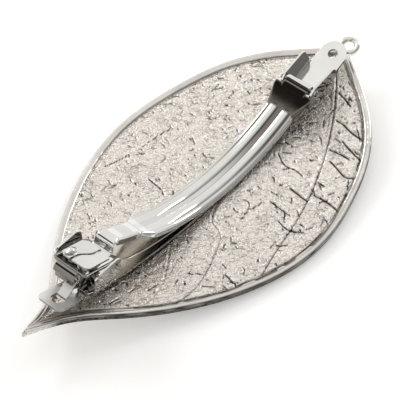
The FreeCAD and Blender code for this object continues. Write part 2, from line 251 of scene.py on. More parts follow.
@dataclass(frozen=True)
class Finish:
    """A metal finish: plated colour, gloss and the faint unevenness of handled plating."""

    name: str
    slot: Slot
    colour: tuple[float, float, float]
    shade: tuple[float, float, float]
    gloss: float
    haze: float
    ripple: float = 0.00002
    ripple_size: float = 0.003
    grain: float = 0.0

    def body(self, graph: Graph) -> dict[str, Any]:
        """Values of the shader's sockets.

        Args:
            graph: the material's graph.

        Returns:
            Socket names with their values or links.
        """
        place = graph.place()
        cloud = graph.noise(place, 1 / 0.007, 3.0, 0.6)
        fine = graph.noise(place, 1 / 0.0006, 2.0, 0.5)
        colour = graph.blend(cloud.step(0.35, 0.7), rgb(self.shade), rgb(self.colour))
        rough = self.gloss + cloud.step(0.4, 0.75) * self.haze + fine * (self.haze * 0.4)
        height = graph.noise(place, 1 / self.ripple_size, 2.0, 0.5)
        normal = graph.bump(height, self.ripple)
        if self.grain:
            stretched = graph.add("ShaderNodeMapping", {}, {"Vector": place, "Scale": (0.03, 1, 1)})
            lines = graph.noise(stretched, 1 / 0.00012, 2.0, 0.6)
            normal = graph.bump(lines, self.grain, 0.5, normal)
        return {"Base Color": colour, "Roughness": rough, "Normal": normal}

    def make(self) -> Any:
        """Build the material.

        Returns:
            The Blender material.
        """
        material = bpy.data.materials.new(self.name)
        material.use_nodes = True
        graph = Graph(material.node_tree)
        inputs = {"Metallic": 1.0}
        inputs.update(self.body(graph))
        shader = graph.add("ShaderNodeBsdfPrincipled", {}, inputs)
        graph.add("ShaderNodeOutputMaterial", {}, {"Surface": shader})
        material.diffuse_color = rgb(self.colour)
        return material


@dataclass(frozen=True)
class CastFinish(Finish):
    """Plated casting: a net of fine wrinkles and pin holes, with painted shade down in the hollows."""

    def body(self, graph: Graph) -> dict[str, Any]:
        """Values of the shader's sockets, with the painted crevice shade read from the mesh.

        Args:
            graph: the material's graph.

        Returns:
            Socket names with their values or links.
        """
        place = graph.place()
        worms = self.grooves(graph, place, 0.0013, 0.026)
        fine = self.grooves(graph, place, 0.0008, 0.045)
        gaps = graph.noise(place, 1 / 0.0022, 2.0, 0.5).step(0.40, 0.56)
        cloud = graph.noise(place, 1 / 0.012, 3.0, 0.6)
        pebble = graph.noise(place, 1 / 0.00035, 2.0, 0.6)
        # Painted shade stored on the mesh, in the relief's crevices and on the blade's edges.
        relief_shade = graph.add("ShaderNodeAttribute", {"attribute_name": "relief_shade"}, {}, "Fac")
        specks = pebble.step(0.60, 0.68) * 0.42
        # Painted shade along the wrinkle grooves; the specks are dark flecks.
        crease = worms * gaps * 0.46 + fine * 0.22 + specks
        dark = (relief_shade * 0.97 + crease).clamp()
        colour = graph.blend(cloud.step(0.3, 0.7), rgb(self.shade), rgb(self.colour))
        colour = graph.blend(dark, colour, (0.030, 0.026, 0.022, 1.0))
        rough = self.gloss + cloud.step(0.3, 0.8) * self.haze + dark * 0.12
        height = 0.6 - worms * gaps * 0.4 - fine * 0.25 + pebble * 0.7
        normal = graph.bump(height, self.ripple)
        return {"Base Color": colour, "Roughness": rough, "Normal": normal}

    def grooves(self, graph: Graph, place: Sock, size: float, width: float) -> Sock:
        """Thin wandering lines: 1 where a soft noise crosses its middle value.

        Args:
            graph: the material's graph.
            place: coordinates.
            size: how far apart the lines wander, in metres.
            width: how far from the middle value a line reaches.

        Returns:
            A mask that is 1 along the lines.
        """
        wave = graph.noise(place, 1 / size, 1.5, 0.5, 0.6) - 0.5
        return 1.0 - (wave * wave * (1.0 / width ** 2)).clamp()


@dataclass(frozen=True)
class PaintedShadeFinish(Finish):
    """Plated sheet with painted shade, read from the mesh, mostly on faces that look sideways or down.
    """

    # Colour of the painted shade.
    hollow: tuple[float, float, float] = (0.16, 0.14, 0.12)

    def body(self, graph: Graph) -> dict[str, Any]:
        """Values of the shader's sockets, with the painted shade read from the mesh.

        Args:
            graph: the material's graph.

        Returns:
            Socket names with their values or links.
        """
        inputs = super().body(graph)
        shade = graph.add("ShaderNodeAttribute", {"attribute_name": "shade"}, {}, "Fac")
        # Painted shade: the base colour goes towards the shade colour wherever the mesh's shade
        # attribute says.
        inputs["Base Color"] = graph.blend(shade, inputs["Base Color"], rgb(self.hollow))
        return inputs


@dataclass(frozen=True)
class WornFinish(PaintedShadeFinish):
    """Plated sheet that is rubbed dull beyond a place along the part."""

    from_x: float = -0.0335
    wear: float = 0.34

    def body(self, graph: Graph) -> dict[str, Any]:
        """Values of the shader's sockets, with the rubbed end's extra roughness.

        Args:
            graph: the material's graph.

        Returns:
            Socket names with their values or links.
        """
        inputs = super().body(graph)
        along = graph.add("ShaderNodeSeparateXYZ", {}, {"Vector": graph.place()}, "X")
        rubbed = ((self.from_x - along) * (1.0 / 0.0015)).clamp()
        inputs["Roughness"] = inputs["Roughness"] + rubbed * self.wear
        return inputs


@dataclass(frozen=True)
class FloorFinish(Finish):
    """Plain pale paper under the part."""

    def make(self) -> Any:
        """Build the matt floor material.

        Returns:
            The Blender material.
        """
        material = bpy.data.materials.new(self.name)
        material.use_nodes = True
        graph = Graph(material.node_tree)
        shader = graph.add("ShaderNodeBsdfPrincipled", {},
                           {"Base Color": rgb(self.colour), "Roughness": self.gloss,
                            "Emission Color": rgb(self.colour), "Emission Strength": self.haze})
        graph.add("ShaderNodeOutputMaterial", {}, {"Surface": shader})
        return material


CAST = CastFinish("plated_casting", Slot.LEAF, (0.86, 0.815, 0.765), (0.74, 0.70, 0.655), 0.20, 0.10,
                  ripple=0.00012)
# The rim's painted shade goes to near black.
RIM = PaintedShadeFinish("plated_rim", Slot.RIM, (0.80, 0.775, 0.74), (0.66, 0.64, 0.61), 0.16, 0.08,
                   ripple=0.00006, ripple_size=0.0014, hollow=(0.03, 0.026, 0.022))
CLIP = PaintedShadeFinish("plated_sheet", Slot.CLIP, (0.80, 0.80, 0.785), (0.73, 0.73, 0.72), 0.06, 0.05)
# A lighter copy of the clip sheet's colours, painted light on the base strip and tongue; the rubbed end
# only adds roughness.
TAB = WornFinish("plated_sheet_lightened_and_rubbed", Slot.CLIP, (0.86, 0.86, 0.845), (0.80, 0.80, 0.785), 0.06, 0.05)
SPRING = PaintedShadeFinish("spring_strip", Slot.SPRING, (0.70, 0.67, 0.61), (0.58, 0.55, 0.50), 0.12, 0.10,
                      grain=0.00001)
SOLDER = Finish("dull_solder", Slot.SOLDER, (0.55, 0.54, 0.52), (0.40, 0.39, 0.38), 0.35, 0.2,
                ripple=0.0001, ripple_size=0.0012)
PAPER = FloorFinish("white_paper", Slot.LEAF, (0.95, 0.95, 0.95), (0.9, 0.9, 0.9), 0.7, 0.24)


# ---------------------------------------------------------------- mesh tools


class Workshop:
    """Turns numpy surfaces and CAD nodes into finished pieces."""

    def __init__(self, frame: dict[str, Any]) -> None:
        """Keep the frame and build each finish once."""
        self.frame = frame
        finishes = (CAST, RIM, CLIP, TAB, SPRING, SOLDER)
        self.materials = {finish.name: finish.make() for finish in finishes}

    def finish_piece(self, name: str, mesh: Any, finish: Finish, body: Body,
                     nodes: Sequence[str]) -> Any:
        """Put a mesh in the scene as a piece that stands for CAD nodes.

        Args:
            name: the piece's name.
            mesh: its mesh, in metres, in the part's frame.
            finish: what it is covered with.
            body: the body that it rides on.
            nodes: the CAD nodes that it stands for.

        Returns:
            The new object.
        """
        mesh.name = name
        mesh.materials.clear()
        mesh.materials.append(self.materials[finish.name])
        piece = bpy.data.objects.new(name, mesh)
        bpy.context.scene.collection.objects.link(piece)
        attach(piece, body.value)
        if nodes:
            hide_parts(*nodes)
        LOG.info("%s: %d faces, rides on %s", name, len(mesh.polygons), body.value)
        return piece

    def from_rings(self, rings: Array, closed_path: bool = False,
                   paint: tuple[str, Array] | None = None) -> Any:
        """Join rings of points into a closed skin.

        Each ring is one closed loop; neighbouring rings are joined by quads. Rings whose points
        coincide close the ends, because equal points are merged.

        Args:
            rings: (rings, points, 3) in millimetres.
            closed_path: whether the last ring joins the first.
            paint: an attribute's name and its value at each of the rings' points.

        Returns:
            The mesh, in metres.
        """
        count, around = rings.shape[:2]
        index = np.arange(count * around).reshape(count, around)
        after = np.roll(index, -1, axis=0) if closed_path else index[1:]
        here = index if closed_path else index[:-1]
        quads = np.stack([here, np.roll(here, -1, axis=1), np.roll(after, -1, axis=1), after], -1)
        mesh = bpy.data.meshes.new("surface")
        mesh.from_pydata((rings.reshape(-1, 3) * MM).tolist(), [], quads.reshape(-1, 4).tolist())
        if paint:
            layer = mesh.attributes.new(paint[0], "FLOAT", "POINT")
            layer.data.foreach_set("value", paint[1].reshape(-1))
        work = bmesh.new()
        work.from_mesh(mesh)
        bmesh.ops.remove_doubles(work, verts=work.verts, dist=2e-7)
        bmesh.ops.dissolve_degenerate(work, edges=work.edges, dist=1e-8)
        bmesh.ops.recalc_face_normals(work, faces=work.faces)
        for face in work.faces:
            face.smooth = True
        work.to_mesh(mesh)
        work.free()
        return mesh

    def sheet(self, middle: Array, thickness: float, round_steps: int = 4) -> Any:
        """Give a patch a wall with round edges all the way about.

        The patch's own normal carries both faces half a thickness out; half circles of that
        radius join them at the sides, and quarter circles shrink the outline to close the ends.

        Args:
            middle: (along, across, 3) points of the middle surface, in millimetres.
            thickness: the wall, in millimetres.
            round_steps: points in each rounded edge.

        Returns:
            The closed mesh.
        """
        along = np.gradient(middle, axis=0)
        across = np.gradient(middle, axis=1)
        along /= np.linalg.norm(along, axis=2, keepdims=True) + 1e-12
        across /= np.linalg.norm(across, axis=2, keepdims=True) + 1e-12
        normal = np.cross(along, across)
        normal /= np.linalg.norm(normal, axis=2, keepdims=True) + 1e-12
        half = thickness / 2
        turn = np.linspace(0, math.pi, round_steps + 2)[1:-1][None, :, None]

        def edge(side: int, sign: float) -> Array:
            """Half circle round one side edge, from the upper face to the lower."""
            return half * (np.cos(turn) * normal[:, side][:, None] +
                           sign * np.sin(turn) * across[:, side][:, None])

        base = np.concatenate([middle, np.repeat(middle[:, -1:], round_steps, 1), middle[:, ::-1],
                               np.repeat(middle[:, :1], round_steps, 1)], 1)
        offset = np.concatenate([half * normal, edge(-1, 1.0), -half * normal[:, ::-1],
                                 edge(0, -1.0)[:, ::-1]], 1)
        rings = [base + offset]
        lean = np.linspace(0, math.pi / 2, round_steps + 1)[1:]
        for end, sign in ((0, -1.0), (-1, 1.0)):
            forward = np.concatenate([along[end], np.repeat(along[end, -1:], round_steps, 0),
                                      along[end, ::-1], np.repeat(along[end, :1], round_steps, 0)], 0)
            caps = [base[end] + math.cos(a) * offset[end] + sign * math.sin(a) * half * forward
                    for a in lean]
            caps = np.stack(caps[::-1] if end == 0 else caps)
            rings = [caps] + rings if end == 0 else rings + [caps]
        return self.from_rings(np.concatenate(rings, 0))

    def channel(self, path: Array, width: Array, turn: Array, skirt: Array, thickness: float,
                bend: float = 0.4) -> Any:
        """Fold a sheet along a path in the XZ plane, with its sides turned down.

        Across the sheet, arc length runs over the flat, round a bend of fixed radius by the
        turn angle, and straight down the skirt. The path's normal is up.

        Args:
            path: (n, 2) X and Z of the middle surface.
            width: half width at each point, over the folded sides.
            turn: how far the sides are turned down, in radians.
            skirt: straight length below the bend.
            thickness: the wall.
            bend: radius of the bend.

        Returns:
            The closed mesh, all in millimetres until it is written.
        """
        tangent = np.gradient(path, axis=0)
        tangent /= np.linalg.norm(tangent, axis=1, keepdims=True)
        up = np.stack([-tangent[:, 1], tangent[:, 0]], 1)
        up *= np.sign(up[:, 1:2] + 1e-9) if abs(up[0, 1]) > 0.2 else 1.0
        up[1:] *= np.sign(np.cumprod(np.sign((up[1:] * up[:-1]).sum(1)), 0))[:, None]
        v = np.linspace(-1, 1, 61)[None]
        flat = (width - bend * np.sin(turn))[:, None]
        arc, leg = (bend * turn)[:, None], skirt[:, None]
        q = np.abs(v) * (flat + arc + leg)
        over = np.clip(q - flat, 0, arc) / bend
        rest = np.clip(q - flat - arc, 0, None)
        y = np.sign(v) * (np.minimum(q, flat) + bend * np.sin(over) + rest * np.cos(over))
        down = bend * (1 - np.cos(over)) + rest * np.sin(over)
        middle = np.stack([path[:, :1] - down * up[:, :1], y, path[:, 1:] - down * up[:, 1:]], 2)
        return self.sheet(middle, thickness)

    @staticmethod
    def shade_sides(mesh: Any, depth: float = 0.75, low: float = 0.05, high: float = 0.7) -> None:
        """Store painted shade on the points that look sideways or down.

        Args:
            mesh: the mesh.
            depth: painted shade of the lowest faces.
            low: upward part of the normal that is fully shaded.
            high: upward part of the normal that isn't shaded at all.
        """
        normals = np.zeros(len(mesh.vertices) * 3)
        mesh.vertices.foreach_get("normal", normals)
        # Painted shade, stronger the less a point looks up.
        value = depth * (1 - smooth(normals[2::3], low, high))
        store_shade(mesh, value)

    def refined(self, node: str, finish: Finish, body: Body, edge: float = 0.07,
                steps: int = 3, depth: float = 0.75, level: float = 0.7) -> Any:
        """Stand a merged copy of a CAD node in for it, with its sharp edges rounded.

        Args:
            node: the CAD node.
            finish: what it is covered with.
            body: the body that it rides on.
            edge: edge radius in millimetres.
            steps: faces in each rounded edge.
            depth: how much painted shade the faces get that look sideways or down.
            level: upward part of the normal from which a face gets no painted shade.

        Returns:
            The new object.
        """
        mesh = self.frame["nodes"][node].data.copy()
        work = bmesh.new()
        work.from_mesh(mesh)
        bmesh.ops.remove_doubles(work, verts=work.verts, dist=1e-6)
        bmesh.ops.dissolve_limit(work, angle_limit=math.radians(0.3), verts=work.verts,
                                 edges=work.edges)
        work.normal_update()
        upward = [face.normal.z for face in work.faces]
        for face in work.faces:
            face.smooth = True
        work.to_mesh(mesh)
        work.free()
        # Painted shade on the faces that look sideways or down.
        shade = depth * (1 - smooth(np.array(upward), 0.05, level))
        store_shade(mesh, shade, "FACE")
        mesh.set_sharp_from_angle(angle=math.radians(32))
        piece = self.finish_piece(node + "_piece", mesh, finish, body, [node])
        bevel = piece.modifiers.new("round_edges", "BEVEL")
        bevel.width = edge * MM
        bevel.segments = steps
        bevel.limit_method = "ANGLE"
        bevel.angle_limit = math.radians(32)
        bevel.harden_normals = True
        bevel.miter_outer = "MITER_ARC"
        return piece


def points_mm(mesh: Any) -> Array:
    """A mesh's points in millimetres, as (points, 3)."""
    points = np.zeros(len(mesh.vertices) * 3)
    mesh.vertices.foreach_get("co", points)
    return points.reshape(-1, 3) / MM


def store_shade(mesh: Any, value: Array, domain: str = "POINT") -> None:
    """Store how much painted shade each point or face of a mesh gets."""
    mesh.attributes.new("shade", "FLOAT", domain).data.foreach_set("value", value)


def box_mm(node: str) -> tuple[Array, Array]:
    """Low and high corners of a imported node, in millimetres."""
    low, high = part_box(node)
    return np.array(low) / MM, np.array(high) / MM


def arc_place(x: Array, mid_x: float, mid_z: float, radius: float) -> tuple[Array, Array, Array]:
    """Height and upward normal of a concave-up arc.

    The arc's lowest point is (mid_x, mid_z) and its centre stands a radius above that.

    Args:
        x: places along the part.
        mid_x: where the arc is lowest.
        mid_z: its lowest height.
        radius: its radius.

    Returns:
        Height, and the X and Z of the unit normal that points to the centre.
    """
    run = (x - mid_x) / radius
    rise = np.sqrt(1 - run ** 2)
    return mid_z + radius * (1 - rise), -run, rise


def smooth(value: Array, low: float, high: float) -> Array:
    """Smooth ramp, 3t^2 - 2t^3, from 0 at low to 1 at high."""
    t = np.clip((value - low) / (high - low), 0, 1)
    return t * t * (3 - 2 * t)


def hash01(i: Array, j: Array, seed: float) -> Array:
    """A fixed scatter between 0 and 1 for whole-number places: the fraction of a large sine."""
    return np.mod(np.sin(i * 127.1 + j * 311.7 + seed * 74.7) * 43758.5453, 1.0)


def soft_noise(x: Array, y: Array, seed: float) -> Array:
    """Value noise between -1 and 1: scattered lattice values joined by smooth ramps.

    Args:
        x: first coordinate, in lattice steps.
        y: second coordinate, in lattice steps.
        seed: which scatter to use.

    Returns:
        The noise, in the shape of x.
    """
    i, j = np.floor(x), np.floor(y)
    u, v = smooth(x - i, 0, 1), smooth(y - j, 0, 1)
    low = hash01(i, j, seed) * (1 - u) + hash01(i + 1, j, seed) * u
    high = hash01(i, j + 1, seed) * (1 - u) + hash01(i + 1, j + 1, seed) * u
    return 2 * (low * (1 - v) + high * v) - 1


def curve_through(points: Sequence[tuple[float, float]], samples: int) -> Array:
    """Natural cubic spline through points, by chord length.

    Args:
        points: the points to pass through.
        samples: how many places to give along the curve.

    Returns:
        The curve's places, as (samples, 2).
    """
    p = np.array(points, float)
    s = np.concatenate([[0], np.cumsum(np.linalg.norm(np.diff(p, axis=0), axis=1))])
    h = np.diff(s)
    n = len(p)
    a = np.eye(n)
    b = np.zeros((n, 2))
    inner = np.arange(1, n - 1)
    a[inner, inner - 1] = h[:-1]
    a[inner, inner] = 2 * (h[:-1] + h[1:])
    a[inner, inner + 1] = h[1:]
    slope = np.diff(p, axis=0) / h[:, None]
    b[inner] = 6 * np.diff(slope, axis=0)
    m = np.linalg.solve(a, b)
    t = np.linspace(0, s[-1], samples)
    k = np.clip(np.searchsorted(s, t, side="right") - 1, 0, n - 2)
    d, w = (t - s[k])[:, None], h[k][:, None]
    return (p[k] + d * (slope[k] - w * (2 * m[k] + m[k + 1]) / 6) + d ** 2 * m[k] / 2
            + d ** 3 * (m[k + 1] - m[k]) / (6 * w))


# ---------------------------------------------------------------- the leaf


@dataclass(frozen=True)
class Vein:
    """A vein or an incised stroke, by points in leaf proportions.

    Each point is (share of the length from the tip, share of the half width, near side
    negative). A positive height is a raised line and a negative one a cut.
    """

    points: tuple[tuple[float, float], ...]
    height: float
    width: float


def big_veins() -> list[Vein]:
    """The veins that can be followed across the leaf's back."""
    high, wide = 0.11, 0.2
    return [
        Vein(((0.93, -0.1), (0.87, -0.36), (0.79, -0.5), (0.70, -0.61), (0.6, -0.69),
              (0.51, -0.77), (0.42, -0.94)), high, wide),
        Vein(((0.93, 0.1), (0.85, 0.37), (0.77, 0.5), (0.65, 0.63), (0.53, 0.72), (0.41, 0.92)),
             high, wide),
        Vein(((0.62, -0.02), (0.55, -0.1), (0.5, -0.15), (0.46, -0.35), (0.41, -0.5),
              (0.33, -0.72), (0.26, -0.9)), 0.09, 0.2),
        Vein(((0.62, 0.02), (0.57, 0.12), (0.5, 0.3), (0.43, 0.5), (0.36, 0.62), (0.27, 0.9)),
             0.08, 0.2),
        Vein(((0.42, 0.0), (0.36, -0.2), (0.29, -0.5), (0.2, -0.85)), 0.06, 0.19),
        Vein(((0.42, 0.0), (0.36, 0.25), (0.28, 0.55), (0.2, 0.85)), 0.06, 0.19),
        Vein(((0.8, -0.02), (0.72, -0.16), (0.66, -0.3), (0.59, -0.43), (0.5, -0.56)), 0.05, 0.18),
        Vein(((0.8, 0.02), (0.7, 0.2), (0.6, 0.33), (0.5, 0.44), (0.42, 0.6)), 0.05, 0.18),
    ]


def cut_strokes() -> list[Vein]:
    """The cross veins: dark cut strokes between the big veins."""
    deep = -0.24
    return [
        Vein(((0.875, -0.40), (0.87, -0.53), (0.863, -0.64)), deep * 0.7, 0.15),
        Vein(((0.82, -0.5), (0.821, -0.58), (0.815, -0.7), (0.813, -0.87)), deep, 0.17),
        Vein(((0.787, -0.66), (0.778, -0.79), (0.772, -0.91)), deep, 0.18),
        Vein(((0.757, -0.58), (0.76, -0.7), (0.761, -0.8)), deep, 0.17),
        Vein(((0.734, -0.64), (0.728, -0.74), (0.722, -0.84), (0.732, -0.93)), deep, 0.17),
        Vein(((0.733, -0.93), (0.70, -0.93)), deep, 0.17),
        Vein(((0.635, -0.48), (0.63, -0.66)), deep, 0.2),
        Vein(((0.69, -0.19), (0.673, -0.33), (0.676, -0.4), (0.673, -0.5)), deep * 0.6, 0.14),
        Vein(((0.385, -0.74), (0.377, -0.93)), deep, 0.15),
        Vein(((0.585, -0.43), (0.581, -0.63)), deep * 0.8, 0.15),
        Vein(((0.557, -0.6), (0.553, -0.74), (0.566, -0.82)), deep, 0.17),
        Vein(((0.65, -0.68), (0.651, -0.84), (0.647, -0.94)), deep, 0.17),
        Vein(((0.477, 0.47), (0.471, 0.3)), deep * 0.8, 0.15),
        Vein(((0.555, -0.25), (0.539, -0.35), (0.514, -0.37)), deep * 0.5, 0.14),
        Vein(((0.545, -0.36), (0.576, -0.39)), deep * 0.5, 0.14),
        Vein(((0.70, -0.6), (0.655, -0.65), (0.61, -0.68)), deep * 0.7, 0.12),
        Vein(((0.61, 0.66), (0.57, 0.69), (0.55, 0.7)), deep * 0.6, 0.12),
        Vein(((0.5, 0.75), (0.478, 0.78), (0.445, 0.85)), deep * 0.6, 0.12),
    ]


@dataclass
class LeafCasting:
    """The cast leaf: curved plate with its relief, smooth raised border and eye."""

    shop: Workshop
    length: float = 91.5
    thick: float = 1.2
    radius: float = 161.0
    rim_width: float = 1.45
    rim_height: float = 0.42
    stations: tuple[tuple[float, float], ...] = (
        (-45.75, 0.0), (-42.5, 1.0), (-37.5, 2.9), (-30.0, 8.4), (-20.0, 15.3), (-8.0, 20.8),
        (6.0, 23.3), (18.0, 21.3), (28.3, 17.0), (35.0, 11.2), (39.6, 5.2), (42.4, 1.3))
    eye_outer: float = 2.15
    eye_hole: float = 0.95
    rows: int = 536
    columns: int = 170
    front_columns: int = 14
    blade_start: float = -45.7
    blade_length: float = 88.05
    rim_start: float = -45.2
    rim_rows: int = 900
    rim_columns: int = 44
    pits: int = 330
    strokes: int = 200
    seed: int = 11

    def half_width(self, x: Array) -> Array:
        """Half the leaf's width at each place along it."""
        line = curve_through(self.stations, 800)
        return np.interp(x, line[:, 0], line[:, 1])

    def to_mm(self, points: Sequence[tuple[float, float]]) -> Array:
        """Leaf proportions to millimetres, along a smooth line.

        Args:
            points: shares of the length and of the half width.

        Returns:
            The line's points, as (samples, 2).
        """
        line = curve_through(points, 24)
        x = (line[:, 0] - 0.5) * self.length
        return np.stack([x, line[:, 1] * self.half_width(x)], 1)

    @staticmethod
    def distance(x: Array, y: Array, line: Array) -> Array:
        """Shortest distance from each grid point to a line of segments.

        Args:
            x: along the leaf.
            y: across the leaf.
            line: the line's points.

        Returns:
            Distances, in the shape of x.
        """
        best = np.full(x.shape, 1e9)
        for a, b in zip(line[:-1], line[1:]):
            d = b - a
            t = np.clip(((x - a[0]) * d[0] + (y - a[1]) * d[1]) / (d @ d + 1e-12), 0, 1)
            best = np.minimum(best, (x - a[0] - t * d[0]) ** 2 + (y - a[1] - t * d[1]) ** 2)
        return np.sqrt(best)

    def relief(self, x: Array, y: Array) -> tuple[Array, Array]:
        """Height of the cast relief and the painted shade in its crevices.

        Two soft noises give the cast skin, and a third roughens it in patches and beside the
        clip. A vein is a Gaussian ridge on the far side, and on the near side a Gaussian cut
        with a raised flank. Strokes are Gaussian cuts, and pits are stretched Gaussian holes.

        Args:
            x: along the leaf.
            y: across the leaf.

        Returns:
            Height in millimetres, and the painted crevice shade from 0 to 1.
        """
        height = 0.022 * soft_noise(x / 1.3, y / 1.3, 12) + 0.016 * soft_noise(x / 0.6, y / 0.6, 13)
        rough = smooth(soft_noise(x / 7, y / 7, 15) + 0.9 * np.exp(-((y + 5.5) / 3.5) ** 2), 0.2, 1.1)
        bumps = soft_noise(x / 0.9 + 0.4 * y, y / 0.75, 17)
        height += 0.04 * rough * bumps
        # Painted shade in the hollows of the rough patches.
        dark = 0.1 * rough * smooth(-bumps, 0.15, 0.7)
        for vein in big_veins():
            gap = self.distance(x, y, self.to_mm(vein.points))
            ridge = np.exp(-(gap / vein.width) ** 2)
            flank = np.exp(-((gap - 1.9 * vein.width) / (0.9 * vein.width)) ** 2)
            cut = np.exp(-(gap / (0.7 * vein.width)) ** 2)
            near = 1 - smooth(y, 0, 3)
            height += vein.height * (ridge * (1 - near) + near * (0.8 * flank - 0.9 * cut))
            dark = dark * (1 - np.maximum(ridge * (1 - near), 0.6 * flank))
            # Painted shade down the near side's vein cuts.
            dark = np.maximum(dark, (vein.height / 0.11) ** 2 * near * cut)
        for vein in cut_strokes() + self.fine_strokes():
            gap = self.distance(x, y, self.to_mm(vein.points))
            ditch = np.exp(-(gap / vein.width) ** 2)
            height += vein.height * ditch
            deep = np.minimum(1, -vein.height * 8)
            # Painted shade down in the strokes.
            dark = np.maximum(dark, deep * smooth(ditch, 0.2, 0.72))
        scatter = np.random.default_rng(self.seed)
        for _ in range(self.pits):
            cx, cy = scatter.uniform(-40, 40), scatter.uniform(-22, 22)
            long, broad = scatter.uniform(0.14, 0.5), scatter.uniform(0.13, 0.2)
            turn = scatter.normal(1.35, 0.4)
            if abs(cy) > self.half_width(np.array([cx]))[0] - 1.6:
                continue
            c, s = math.cos(turn), math.sin(turn)
            along, side = (x - cx) * c + (y - cy) * s, (y - cy) * c - (x - cx) * s
            hole = np.exp(-(along / long) ** 2 - (side / broad) ** 2)
            height -= 0.16 * hole
            # Painted shade in the pits.
            dark = np.maximum(dark, smooth(hole, 0.25, 0.8))
        rib = np.exp(-(y / 0.8) ** 2) * smooth(x, -45.5, -43)
        return height + 0.3 * rib, dark * (1 - 0.8 * rib)

    def fine_strokes(self) -> list[Vein]:
        """Short cross veins scattered between the big ones, all running nearly across the leaf."""
        scatter = np.random.default_rng(self.seed + 1)
        strokes = []
        for _ in range(self.strokes):
            s, t = scatter.uniform(0.14, 0.93), scatter.uniform(-0.92, 0.92)
            reach, lean = scatter.uniform(0.02, 0.065), scatter.normal(0.0, 0.010)
            middle = (s + lean / 2 + scatter.normal(0, 0.002), t + reach / 2)
            depth = scatter.uniform(0.08, 0.19) * (1.0 if t < 0 else 0.6)
            strokes.append(Vein(((s, t), middle, (s + lean, t + reach)), -depth, 0.15))
        return strokes

    def blade(self) -> None:
        """Build the plate.

        At each place along the leaf a ring runs over the back from side to side, round the
        edge, and back under the smooth front; both ends shrink to a point.
        """
        s = np.linspace(0, 1, self.rows)
        x = self.blade_start + self.blade_length * (s - 0.06 * np.sin(2 * math.pi * s) / (2 * math.pi))
        w = np.maximum(self.half_width(x) - 0.05, 0.02)
        v = np.linspace(-1, 1, self.columns)
        v = v * (1 - 0.12) + 0.12 * np.sin(v * math.pi / 2)
        xx, yy = np.repeat(x[:, None], self.columns, 1), w[:, None] * v[None]
        slope = np.gradient(w, x)[:, None]
        inside = (w[:, None] - np.abs(yy)) / np.sqrt(1 + slope ** 2)
        height, dark = self.relief(xx, yy)
        calm = smooth(inside, 0.7, 1.8)
        ditch = np.exp(-((inside - self.rim_width - 0.18) / 0.22) ** 2)
        broken = smooth(soft_noise(xx / 2.4, yy * 0 + np.sign(yy), 31), -0.75, 0.1)
        side = (1 - 0.88 * smooth(yy, -2, 4)) * smooth(w[:, None], 1.5, 6)
        height = height * calm - 0.2 * ditch * (0.4 + 0.6 * side)
        # Painted shade in the ditch along the rim's foot, stronger on the near side and broken along
        # it.
        dark = np.maximum(dark * calm, (0.45 + 0.55 * broken) * side * smooth(ditch, 0.1, 0.7))
        point = 1 - smooth(-xx, 38.5, 42)
        # Painted shade on the blade's outer edge, fading out at the point.
        dark = np.where(inside < 0.2, 0.9 * point, dark)
        base, nx, nz = arc_place(xx, 0.0, self.thick, self.radius)
        back = np.stack([xx + height * nx, yy, base + height * nz], 2)
        low = np.linspace(1, -1, self.front_columns)
        drop = self.thick - 0.35 * np.abs(low) ** 6
        xb, yb = np.repeat(x[:, None], self.front_columns, 1), w[:, None] * low[None] * 0.995
        zb, bx, bz = arc_place(xb, 0.0, self.thick, self.radius)
        front = np.stack([xb - drop * bx, yb, zb - drop * bz], 2)
        rings = np.concatenate([back, front], 1)
        shrink = np.minimum(1, np.minimum(s / 0.004, (1 - s) / 0.004))[:, None, None]
        centre = rings.mean(1, keepdims=True)
        rings = centre + (rings - centre) * np.sqrt(shrink)
        rings[..., 0] = np.maximum(rings[..., 0], box_mm("leaf_blade")[0][0] + 0.03)
        # Painted shade on the edges of the smooth front.
        edge = 0.85 * np.abs(low[None]) ** 8 * point[:, :1]
        mesh = self.shop.from_rings(rings, paint=("relief_shade", np.concatenate([dark, edge], 1)))
        self.shop.finish_piece("leaf_blade_casting", mesh, CAST, Body.BARRETTE, ["leaf_blade"])

    def rim(self) -> None:
        """Build the border: a low rounded section carried round the leaf's outline.

        The section is a flattened superellipse half sunk in the plate, with a fine groove
        along its crest, and its height wanders a little as hand-finished metal does. Painted shade
        lines its foot and walls, with breaks along the low side, and its point is left bright.
        """
        count, around = self.rim_rows, self.rim_columns
        side = curve_through(self.stations, count)
        keep = side[:, 0] > self.rim_start
        side = side[keep]
        loop = np.concatenate([side[::-1], (side * [1, -1])[1:]])
        run = np.concatenate([[0], np.cumsum(np.linalg.norm(np.diff(loop, axis=0), axis=1))])
        t = np.linspace(0, run[-1], count)
        line = np.stack([np.interp(t, run, loop[:, k]) for k in (0, 1)], 1)
        tangent = np.gradient(line, axis=0)
        tangent /= np.linalg.norm(tangent, axis=1, keepdims=True)
        inward = np.stack([-tangent[:, 1], tangent[:, 0]], 1)
        inward *= np.sign(-(inward * line).sum(1, keepdims=True) + 1e-9)
        limit = np.maximum(np.abs(line[:, 1]) * 0.9, 0.25)
        width = np.minimum(self.rim_width, limit * 1.3)
        angle = np.linspace(0, 2 * math.pi, around, endpoint=False)
        cos, sin = np.cos(angle), np.sin(angle)
        across = np.sign(cos) * np.abs(cos) ** 0.75
        up = np.sign(sin) * np.abs(sin) ** 0.85
        wander = 1 + 0.1 * soft_noise(t / 3.1, t * 0, 21) + 0.06 * soft_noise(t / 0.9, t * 0, 22)
        rise = np.where(up > 0, self.rim_height * up, 0.5 * up)[None] * wander[:, None]
        rise -= 0.09 * np.exp(-((across - 0.15) / 0.2) ** 2)[None] * (up > 0)[None]
        near = smooth(-line[:, 1], -1.0, 2.5) * (1 - 0.85 * smooth(line[:, 0], 26, 38))
        crest = np.minimum(1, 1.7 * np.exp(-((across - 0.15) / 0.26) ** 2)) * (up > 0)
        broken = smooth(soft_noise(t / 2.2, t * 0, 24), -0.7, 0)
        low_side = near * smooth(-line[:, 0], -18, -6) * broken
